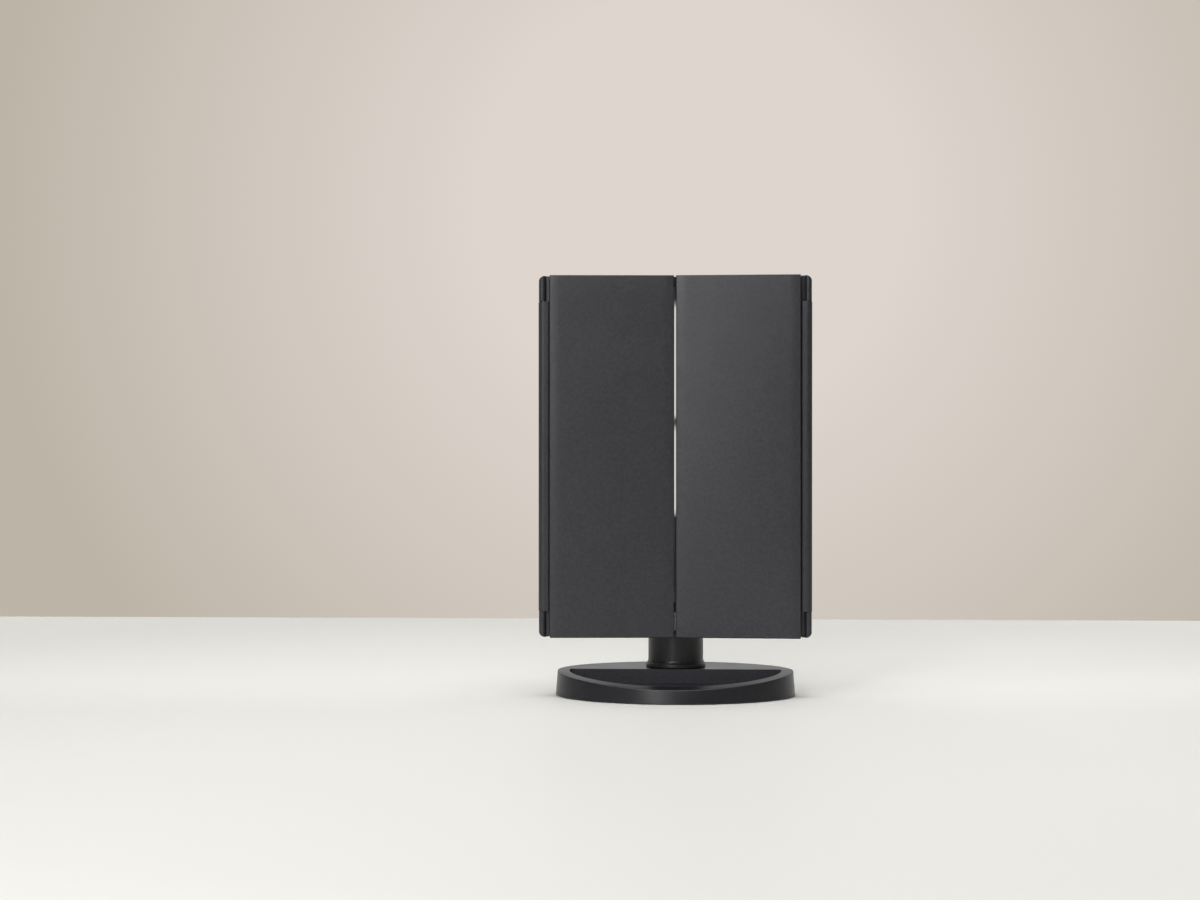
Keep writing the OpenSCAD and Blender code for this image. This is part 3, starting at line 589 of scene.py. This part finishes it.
class BaseForm:
    """The oval base's rings: a leaning wall, an arched top, a rim and a half-moon tray."""

    SIDES = 192
    SLOPE = math.radians(1.5)

    def __init__(self, bm, inset):
        size = sizes()
        self.bm = bm
        self.inset = inset
        self.wall_a = size.base_width / 2 - size.foot_flare - inset
        self.wall_b = size.base_depth / 2 - size.foot_flare - inset
        self.tray_a = self.wall_a - size.tray_rim + 2 * inset
        self.tray_b = self.wall_b - size.tray_rim + 2 * inset
        self.chord = size.chord + inset
        run = size.base_depth / 2 - size.foot_flare + size.chord
        drop = size.deck_height - size.front_height
        rise = drop * math.cos(self.SLOPE) - run * math.sin(self.SLOPE)
        self.radius = (run ** 2 + drop ** 2) / (2 * rise)

    def top(self, y):
        """Height of the arched top at a distance from front to back."""
        size = sizes()
        deck = size.deck_height - self.inset
        if y >= size.chord:
            return deck
        axis_y = size.chord + self.radius * math.sin(self.SLOPE)
        axis_z = size.deck_height - self.radius * math.cos(self.SLOPE)
        return axis_z + math.sqrt(self.radius ** 2 - (y - axis_y) ** 2) - self.inset

    def ring(self, edges, old, new, height):
        """Extrudes a ring of edges to another oval, at a height or on the arched top."""
        made = bmesh.ops.extrude_edge_only(self.bm, edges=edges)["geom"]
        verts = [v for v in made if isinstance(v, bmesh.types.BMVert)]
        bmesh.ops.scale(self.bm, vec=(new[0] / old[0], new[1] / old[1], 1.0), verts=verts)
        for vert in verts:
            vert.co.z = self.top(vert.co.y) if height is None else height
        return [e for e in made if isinstance(e, bmesh.types.BMEdge)]

    def skin(self, edges, start, lean, toe, floor):
        """Raises a leaning wall from its foot ring, turns over the rim and sinks the tray."""
        leant = (self.wall_a + lean, self.wall_b + lean)
        edges = self.ring(edges, start, leant, toe)
        outline = self.ring(edges, leant, (self.wall_a, self.wall_b), None)
        rim = self.ring(outline, (self.wall_a, self.wall_b), (self.tray_a, self.tray_b), None)
        verts = {v for e in rim for v in e.verts}
        corners = []
        for side in (LEFT, RIGHT):
            near = min((v for v in verts if v.co.x * side > 0),
                       key=lambda v: abs(v.co.y - self.chord))
            reach = self.tray_a * math.sqrt(1 - (self.chord / self.tray_b) ** 2)
            near.co = Vector((side * reach, self.chord, self.top(self.chord)))
            corners.append(near)
        rear = [e for e in rim if all(v.co.y >= self.chord - 1e-9 for v in e.verts)]
        front = [e for e in rim if e not in rear]
        chord = self.bm.edges.new(corners)
        bmesh.ops.contextual_create(self.bm, geom=rear + [chord])
        made = bmesh.ops.extrude_edge_only(self.bm, edges=front + [chord])["geom"]
        for vert in made:
            if isinstance(vert, bmesh.types.BMVert):
                vert.co.z = floor
        bottom = [e for e in made if isinstance(e, bmesh.types.BMEdge)]
        bmesh.ops.contextual_create(self.bm, geom=bottom)


def build_base_shell():
    size = sizes()
    bm = bmesh.new()
    foot = (size.base_width / 2, size.base_depth / 2)
    ring = bmesh.ops.create_circle(bm, cap_ends=False, segments=BaseForm.SIDES,
                                   radius=1.0)["verts"]
    bmesh.ops.scale(bm, vec=(*foot, 1.0), verts=ring)
    bmesh.ops.translate(bm, vec=(0.0, 0.0, size.foot_height), verts=ring)
    foot_edges = list(bm.edges)
    outer = BaseForm(bm, 0.0)
    outer.skin(foot_edges, foot, size.foot_flare, size.foot_height + OUTER_TOE, size.tray_floor)
    inner = BaseForm(bm, size.shell_wall)
    inner_foot = (inner.wall_a, inner.wall_b)
    inner_ring = inner.ring(foot_edges, foot, inner_foot, size.foot_height)
    inner.skin(inner_ring, inner_foot, 0.0, size.foot_height + INNER_TOE,
               size.tray_floor - TRAY_WALL)
    bmesh.ops.recalc_face_normals(bm, faces=bm.faces)
    tray_depth = size.deck_height - size.tray_floor
    posts = [e for e in bm.edges
             if abs(abs(e.verts[0].co.z - e.verts[1].co.z) - tray_depth) < 0.3 * MM
             and all(abs(v.co.y - size.chord) < 0.1 * MM for v in e.verts)]
    bmesh.ops.bevel(bm, geom=posts, offset=POST_EDGE, offset_type="OFFSET", affect="EDGES",
                    segments=4, profile=0.5, material=-1, clamp_overlap=True)
    ring_edges = [e for e in bm.edges if is_top_edge(e, outer)]
    bmesh.ops.bevel(bm, geom=ring_edges, offset=size.tray_edge, offset_type="OFFSET",
                    affect="EDGES", segments=3, profile=0.5, material=-1, clamp_overlap=True)
    # the tray's faces take the tray finish, whose paler colour is painted light
    for face in bm.faces:
        middle = face.calc_center_median()
        inside = (middle.x / outer.tray_a) ** 2 + (middle.y / outer.tray_b) ** 2 < 1.002
        depth = outer.top(middle.y) - middle.z
        if inside and middle.y < size.chord + 1e-5 and face.normal.z > -0.1 \
                and size.tray_edge < depth < size.deck_height - size.tray_floor + 1e-5:
            face.material_index = 1
    finish_piece(bm, "base_shell_body", "stand", ["base_shell"],
                 [MATERIALS["satin"], MATERIALS["tray"]], sharp=40.0)


def is_top_edge(edge, form):
    """True for the outer edge of the top, and for the tray's upper and lower edges."""
    if len(edge.link_faces) != 2 or edge.calc_face_angle(0.0) < math.radians(40.0):
        return False
    on_top = all(abs(v.co.z - form.top(v.co.y)) < 0.05 * MM for v in edge.verts)
    on_floor = all(abs(v.co.z - sizes().tray_floor) < 1e-6 for v in edge.verts)
    return on_top or on_floor


# ---- Wings ----

class WingPlace:
    """A wing's own axes: along the wing from its hinge, inward to the panel, and up."""

    def __init__(self, side):
        joint = next(j for j in frame["joints"] if j["child"] == WING_BODY[side])
        self.side = side
        self.body = WING_BODY[side]
        self.hinge = Vector((joint["pos_m"][0], joint["pos_m"][1], 0.0))
        lean = self.find_lean()
        self.along = Vector((-side * math.cos(lean), math.sin(lean), 0.0))
        self.inward = Vector((side * math.sin(lean), math.cos(lean), 0.0))

    def find_lean(self):
        """The angle by which the closed wing leans in, from the front corners of its cover."""
        verts = [v.co for v in NODES[WING_COVER[self.side]].data.vertices]
        outer = min(verts, key=lambda co: (round(co.y, 6), -abs(co.x)))
        inner = min((co for co in verts if abs(co.x) < 0.01), key=lambda co: co.y)
        return math.atan2(inner.y - outer.y, abs(outer.x) - abs(inner.x))

    def extent(self, node):
        """Lowest and highest corner of a node along the wing's own axes."""
        spots = [v.co - self.hinge for v in NODES[node].data.vertices]
        rows = [[co.dot(axis) for co in spots] for axis in (self.along, self.inward, UP)]
        return Vector([min(row) for row in rows]), Vector([max(row) for row in rows])

    def matrix(self):
        axes = Matrix((self.along, self.inward, UP)).transposed()
        return Matrix.Translation(self.hinge) @ axes.to_4x4()


WING_BODY = {LEFT: "left_wing", RIGHT: "right_wing"}
WING_COVER = {LEFT: "left_wing_cover", RIGHT: "right_wing_cover"}
WING_FRAME = {LEFT: "left_wing_frame", RIGHT: "right_wing_frame"}


def faces_at(bm, outward, front):
    """The faces that lie in the plane at a distance in a direction."""
    return [f for f in bm.faces if all(abs(v.co.dot(outward) - front) < 1e-6 for v in f.verts)]


def swell(bm, wing, height):
    """Cuts the front face into a grid and swells it out, most in its middle."""
    outward = -wing.inward
    front = max(v.co.dot(outward) for v in bm.verts)
    rim = [v.co for f in faces_at(bm, outward, front) for v in f.verts]
    for axis, cuts in ((wing.along, 12), (UP, 20)):
        low = min(co.dot(axis) for co in rim)
        high = max(co.dot(axis) for co in rim)
        for i in range(1, cuts):
            faces = faces_at(bm, outward, front)
            geometry = {*faces, *(e for f in faces for e in f.edges),
                        *(v for f in faces for v in f.verts)}
            bmesh.ops.bisect_plane(bm, geom=list(geometry), dist=1e-7,
                                   plane_co=axis * (low + (high - low) * i / cuts), plane_no=axis)
    spans = [[co.dot(axis) for co in rim] for axis in (wing.along, UP)]
    for vert in bm.verts:
        if abs(vert.co.dot(outward) - front) < 1e-6:
            share = 1.0
            for span, axis in zip(spans, (wing.along, UP)):
                across = 2 * (vert.co.dot(axis) - min(span)) / (max(span) - min(span)) - 1
                share *= max(0.0, 1 - across ** 2)
            vert.co += outward * (height * share)


def build_wing_cover(side):
    """The cover of a wing: a slightly crowned face with the edges that meet it rounded over."""
    wing = WingPlace(side)
    bm = merged_copy(WING_COVER[side])
    outward = -wing.inward
    front = max(v.co.dot(outward) for v in bm.verts)
    ease(bm, sizes().cover_edge, 3,
         chosen=lambda e: any(abs(v.co.dot(outward) - front) < 1e-5 for v in e.verts))
    swell(bm, wing, sizes().left_crown if side == LEFT else sizes().right_crown)
    finish_piece(bm, WING_COVER[side] + "_skin", wing.body, [WING_COVER[side]],
                 [MATERIALS["charcoal"]])


def build_wing_frame(side):
    eased_copy(WING_FRAME[side], WING_FRAME[side] + "_body", WING_BODY[side],
               MATERIALS["charcoal"], sizes().small_edge)


def glass_plate(name, body, node, low, high, place, curve):
    """A mirror plate with a silvered face, hollowed to a radius, and a ground edge."""
    bm = bmesh.new()
    wide, tall = high.x - low.x, high.z - low.z
    columns, rows = (28, 40) if curve else (1, 1)
    bmesh.ops.create_grid(bm, x_segments=columns, y_segments=rows, size=0.5)
    bmesh.ops.scale(bm, vec=(wide, tall, 1.0), verts=bm.verts)
    if curve:
        rim = curve - math.sqrt(curve ** 2 - (wide ** 2 + tall ** 2) / 4)
        for vert in bm.verts:
            hollow = curve - math.sqrt(curve ** 2 - vert.co.xy.length_squared)
            vert.co.z = hollow - rim
    face_count = len(bm.faces)
    edges = [e for e in bm.edges if e.is_boundary]
    made = bmesh.ops.extrude_edge_only(bm, edges=edges)["geom"]
    back = [v for v in made if isinstance(v, bmesh.types.BMVert)]
    for vert in back:
        vert.co.z = low.y - high.y
    bmesh.ops.contextual_create(bm, geom=[e for e in made if isinstance(e, bmesh.types.BMEdge)])
    bm.faces.ensure_lookup_table()
    for index, face in enumerate(bm.faces):
        face.material_index = 0 if index < face_count else 1
    # the grid lies flat, facing up: stand it up so that up becomes the way the mirror faces
    stand = Matrix(((1, 0, 0, 0), (0, 0, 1, 0), (0, 1, 0, 0), (0, 0, 0, 1)))
    bmesh.ops.transform(bm, matrix=stand, verts=bm.verts)
    centre = Vector(((low.x + high.x) / 2, high.y, (low.z + high.z) / 2))
    bmesh.ops.translate(bm, vec=centre, verts=bm.verts)
    bmesh.ops.transform(bm, matrix=place, verts=bm.verts)
    bmesh.ops.recalc_face_normals(bm, faces=bm.faces)
    rim_edges = [e for e in bm.edges if len({f.material_index for f in e.link_faces}) == 2]
    bmesh.ops.bevel(bm, geom=rim_edges, offset=sizes().glass_edge, offset_type="OFFSET",
                    affect="EDGES", segments=1, profile=0.5, material=1, clamp_overlap=True)
    finish_piece(bm, name, body, [node],
                 [MATERIALS["silver"], MATERIALS["ground glass"]], sharp=20.0, weighted=False)


def build_wing_mirrors():
    size = sizes()
    plates = (
        (LEFT, "left_upper_mirror", size.upper_curve),
        (LEFT, "left_lower_mirror", size.lower_curve),
        (RIGHT, "right_mirror", 0.0),
    )
    for side, node, curve in plates:
        wing = WingPlace(side)
        low, high = wing.extent(node)
        glass_plate(node + "_plate", wing.body, node, low, high, wing.matrix(), curve)


def build_centre_mirror():
    low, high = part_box("centre_mirror")
    turned = Matrix.Scale(-1.0, 4, Vector((0.0, 1.0, 0.0)))
    flipped_low = Vector((low.x, -high.y, low.z))
    flipped_high = Vector((high.x, -low.y, high.z))
    glass_plate("centre_mirror_plate", "panel", "centre_mirror", flipped_low, flipped_high,
                turned, 0.0)


# ---- Operators ----

MATERIALS = {}


class MIRROR_OT_finishes(Operator):
    """Mixes the finishes that every piece takes"""

    bl_idname = "mirror.finishes"
    bl_label = "Mix the finishes"

    def execute(self, context):
        MATERIALS.update({
            "charcoal": charcoal_plastic(), "satin": satin_plastic(), "tray": tray_with_painted_light(),
            "silver": silvering(), "ground glass": ground_glass(), "milk": milk_plastic(),
            "steel": brushed_steel(), "weight": dull_weight(), "rubber": pad_rubber(),
            "board": solder_mask(), "cell": cell_sleeve(), "contact": sprung_contact(),
            "wire": wire_sleeve(), "knob": knob_plastic(),
        })
        return {"FINISHED"}


class MIRROR_OT_base(Operator):
    """Builds the oval tray base with its pad, plate and counterweight"""

    bl_idname = "mirror.base"
    bl_label = "Build the base"

    def execute(self, context):
        build_base_shell()
        dress(MATERIALS["satin"], "base_plate")
        dress(MATERIALS["weight"], "counterweight")
        dress(MATERIALS["rubber"], "base_pad")
        dress(MATERIALS["steel"], "base_screws")
        return {"FINISHED"}


class MIRROR_OT_neck(Operator):
    """Builds the round neck, its collar and the tilt joint"""

    bl_idname = "mirror.neck"
    bl_label = "Build the neck"

    def execute(self, context):
        size = sizes()
        for node, width in (("neck_pillar", size.small_edge), ("neck_collar", COLLAR_EDGE),
                            ("axle_caps", CAP_EDGE)):
            eased_copy(node, node + "_body", "stand", MATERIALS["satin"], width)
        eased_copy("tilt_bracket", "tilt_bracket_body", "panel",
                   MATERIALS["satin"], size.small_edge)
        dress(MATERIALS["steel"], "tilt_axle", "tilt_nut", "friction_washers", "neck_screws",
              "bracket_screws")
        return {"FINISHED"}


class MIRROR_OT_panel(Operator):
    """Builds the lit centre panel with its housing, frame and mirror"""

    bl_idname = "mirror.panel"
    bl_label = "Build the centre panel"

    def execute(self, context):
        size = sizes()
        for node in ("rear_housing", "front_frame"):
            eased_copy(node, node + "_body", "panel", MATERIALS["charcoal"],
                       size.small_edge)
        build_centre_mirror()
        for node in ("left_light_diffuser", "right_light_diffuser", "touch_key"):
            eased_copy(node, node + "_lens", "panel", MATERIALS["milk"],
                       size.small_edge)
        dress(MATERIALS["rubber"], "frame_bumpers")
        dress(MATERIALS["steel"], "housing_screws")
        return {"FINISHED"}


class MIRROR_OT_wings(Operator):
    """Builds the two folding wings with their covers and mirrors"""

    bl_idname = "mirror.wings"
    bl_label = "Build the wings"

    def execute(self, context):
        for side in (LEFT, RIGHT):
            build_wing_cover(side)
            build_wing_frame(side)
        build_wing_mirrors()
        dress(MATERIALS["steel"], "left_hinge_pins", "right_hinge_pins")
        return {"FINISHED"}


class MIRROR_OT_electrics(Operator):
    """Dresses the boards, switch, inlet, leads, cells and the battery door"""

    bl_idname = "mirror.electrics"
    bl_label = "Dress the electrics"

    def execute(self, context):
        size = sizes()
        eased_copy("battery_door", "battery_door_body", "battery_door",
                   MATERIALS["charcoal"], size.small_edge)
        eased_copy("switch_slider", "switch_slider_knob", "switch_slider",
                   MATERIALS["knob"], KNOB_EDGE)
        dress(MATERIALS["board"], "left_led_strip", "right_led_strip", "touch_board",
              "control_board")
        dress(MATERIALS["steel"], "switch_body", "usb_socket")
        dress(MATERIALS["wire"], "lead_wires")
        dress(MATERIALS["cell"], *[f"battery_cell_{i}" for i in range(1, 5)])
        dress(MATERIALS["contact"], "battery_contacts")
        return {"FINISHED"}


def stage_plane(name, material, wide, deep, matrix):
    bm = bmesh.new()
    bmesh.ops.create_grid(bm, x_segments=1, y_segments=1, size=0.5)
    bmesh.ops.scale(bm, vec=(wide, deep, 1.0), verts=bm.verts)
    bmesh.ops.transform(bm, matrix=matrix, verts=bm.verts)
    mesh = bpy.data.meshes.new(name)
    bm.to_mesh(mesh)
    bm.free()
    mesh.materials.append(material)
    plane = bpy.data.objects.new(name, mesh)
    bpy.context.scene.collection.objects.link(plane)


def table_finish():
    """A matt table with painted light: the camera alone sees it paler behind, beside and far from
    the object; painted shade darkens it towards the camera.
    """
    made = Finish("table top")
    stage = stage_settings()
    tint = tuple(stage.table)
    cloud = made.noise(3.0, 3.0, 0.5)
    depth = made.axis("Y")
    away = made.node("ShaderNodeVectorMath", operation="LENGTH")
    made.join(made.place, away.inputs[0])
    # painted light: a glow seen by the camera alone makes the table paler behind, beside and far
    # from the object
    glow = made.maths("ADD", made.spread(depth, *FAR_HALF, 0.0, stage.table_glow),
                      made.spread(away.outputs["Value"], *FAR_ENDS, 0.0, stage.far_glow))
    glow = made.maths("ADD", glow,
                      made.spread(made.axis("X"), *RIGHT_HALF, 0.0, stage.side_glow))
    # painted shade: the table's colour darkens towards the camera
    near = made.spread(depth, *NEAR_PART, NEAR_PAINTED_SHADE, 1.0)
    body = made.node("ShaderNodeVectorMath", operation="SCALE")
    made.join(made.blend(cloud, shade(tint, 0.985), tint), body.inputs[0])
    made.join(near, body.inputs["Scale"])
    made.set(Base_Color=body.outputs["Vector"], Roughness=0.55, Emission_Color=tint,
             Emission_Strength=made.maths("MULTIPLY", made.camera_ray(), glow))
    made.shader.inputs["Specular IOR Level"].default_value = 0.25
    return made.material


def wall_finish():
    """A matt wall with a painted pool of light round a soft spot, painted shade round that and
    pale again far from it; reflections see it grey.
    """
    made = Finish("wall")
    stage = stage_settings()
    spot = made.node("ShaderNodeVectorMath", operation="DISTANCE")
    made.join(made.place, spot.inputs[0])
    spot.inputs[1].default_value = (0.0, stage.wall_place, WALL_SPOT)
    # painted shade round the painted pool of light, turning pale again far off
    fall = made.maths("MULTIPLY",
                      made.spread(spot.outputs["Value"], *WALL_DARKENS, 0.0, 1.0),
                      made.spread(spot.outputs["Value"], *WALL_PALES, 1.0, 0.0))
    wall = made.blend(fall, tuple(stage.wall_light), tuple(stage.wall_shade))
    seen = made.seen()
    shown = made.blend(made.camera_ray(), tuple(stage.wall_gloss), wall)
    made.set(Base_Color=made.blend(seen, wall, (0.0, 0.0, 0.0)), Emission_Color=shown,
             Emission_Strength=seen, Roughness=0.9)
    made.shader.inputs["Specular IOR Level"].default_value = 0.0
    return made.material


def room_world():
    """Pale behind the object, and for reflections a dim room with a bright band at eye level."""
    stage = stage_settings()
    world = bpy.data.worlds.new("room")
    made = Nodes(world, "Generated")
    height = made.spread(made.axis("Z"), -0.25, 0.25, 0.0, 1.0)
    ramp = made.node("ShaderNodeValToRGB")
    made.join(height, ramp.inputs["Fac"])
    stops = ramp.color_ramp.elements
    while len(stops) > 1:
        stops.remove(stops[-1])
    stops[0].position = 0.0
    for index, (sine, level) in enumerate(ROOM_LEVELS):
        stop = stops[0] if index == 0 else stops.new(0.5 + 2 * sine)
        stop.position = 0.5 + 2 * sine
        stop.color = (*(level * part for part in (1.0, 0.96, 0.90)), 1.0)
    path = made.node("ShaderNodeLightPath").outputs
    view = made.blend(path["Is Camera Ray"], ramp.outputs["Color"], tuple(stage.wall_light))
    parts = []
    for colour_value, strength in (((1.0, 1.0, 1.0, 1.0), stage.room), (view, 1.0)):
        background = made.node("ShaderNodeBackground")
        made.put(background.inputs["Color"], colour_value)
        background.inputs["Strength"].default_value = strength
        parts.append(background.outputs["Background"])
    mix = made.node("ShaderNodeMixShader")
    made.join(made.seen(), mix.inputs["Fac"])
    made.join(parts[0], mix.inputs[1])
    made.join(parts[1], mix.inputs[2])
    output = made.node("ShaderNodeOutputWorld")
    made.join(mix.outputs["Shader"], output.inputs["Surface"])
    return world


def soft_light(name, turn, height, width, power):
    """A square lamp that looks at the head from a turn round it and a height above it."""
    away = Vector((math.sin(turn) * math.cos(height), -math.cos(turn) * math.cos(height),
                   math.sin(height)))
    light = bpy.data.lights.new(name, "AREA")
    light.shape = "SQUARE"
    light.size = width
    light.energy = power
    lamp = bpy.data.objects.new(name, light)
    lamp.location = LAMP_TARGET + away * stage_settings().lamp_distance
    lamp.rotation_euler = away.to_track_quat("Z", "Y").to_euler()
    lamp.visible_camera = False
    bpy.context.scene.collection.objects.link(lamp)


class MIRROR_OT_stage(Operator):
    """Sets the table, the wall, the lights and the camera"""

    bl_idname = "mirror.stage"
    bl_label = "Set the stage"

    def execute(self, context):
        stage = stage_settings()
        scene = context.scene
        stage_plane("table", table_finish(), 2 * STAGE_REACH, stage.table_end - stage.table_start,
                    Matrix.Translation((0.0, (stage.table_end + stage.table_start) / 2, 0.0)))
        stage_plane("wall", wall_finish(), 2 * STAGE_REACH, STAGE_REACH,
                    Matrix.Translation((0.0, stage.wall_place, STAGE_REACH / 2 + WALL_FOOT))
                    @ Matrix.Rotation(math.radians(90.0), 4, "X"))
        scene.world = room_world()
        for name, turn, height, width, power in LAMPS:
            soft_light(name, math.radians(turn), math.radians(height), width, power * stage.lamps)
        camera = bpy.data.objects.new("camera", bpy.data.cameras.new("camera"))
        camera.data.lens = stage.lens
        camera.data.sensor_width = SENSOR_WIDTH
        camera.data.clip_start = 0.05
        camera.location = CAMERA_PLACE
        camera.rotation_euler = (math.radians(90.0) - stage.pitch, 0.0, stage.yaw)
        scene.collection.objects.link(camera)
        scene.camera = camera
        scene.view_settings.view_transform = "Standard"
        return {"FINISHED"}


STEPS = (
    MIRROR_OT_finishes, MIRROR_OT_base, MIRROR_OT_neck, MIRROR_OT_panel, MIRROR_OT_wings,
    MIRROR_OT_electrics, MIRROR_OT_stage,
)


class MIRROR_PT_sidebar(Panel):
    """Lists the steps that build the mirror"""

    bl_idname = "MIRROR_PT_sidebar"
    bl_label = "Trifold mirror"
    bl_space_type = "VIEW_3D"
    bl_region_type = "UI"
    bl_category = "Mirror"

    def draw(self, context):
        for step in STEPS:
            self.layout.operator(step.bl_idname)
        for group in (sizes(), finishes(), stage_settings()):
            box = self.layout.box()
            for key in group.bl_rna.properties.keys():
                if key not in ("rna_type", "name"):
                    box.prop(group, key)


GROUPS = (
    (MirrorSizes, "mirror_sizes"), (MirrorFinishes, "mirror_finishes"),
    (MirrorStage, "mirror_stage"),
)


def register():
    for group, name in GROUPS:
        bpy.utils.register_class(group)
        setattr(bpy.types.Scene, name, PointerProperty(type=group))
    for step in STEPS:
        bpy.utils.register_class(step)
    bpy.utils.register_class(MIRROR_PT_sidebar)


def unregister():
    bpy.utils.unregister_class(MIRROR_PT_sidebar)
    for step in reversed(STEPS):
        bpy.utils.unregister_class(step)
    for group, name in reversed(GROUPS):
        delattr(bpy.types.Scene, name)
        bpy.utils.unregister_class(group)


def main():
    register()
    for step in STEPS:
        family, name = step.bl_idname.split(".")
        getattr(getattr(bpy.ops, family), name)()


if __name__ == "__main__":
    main()
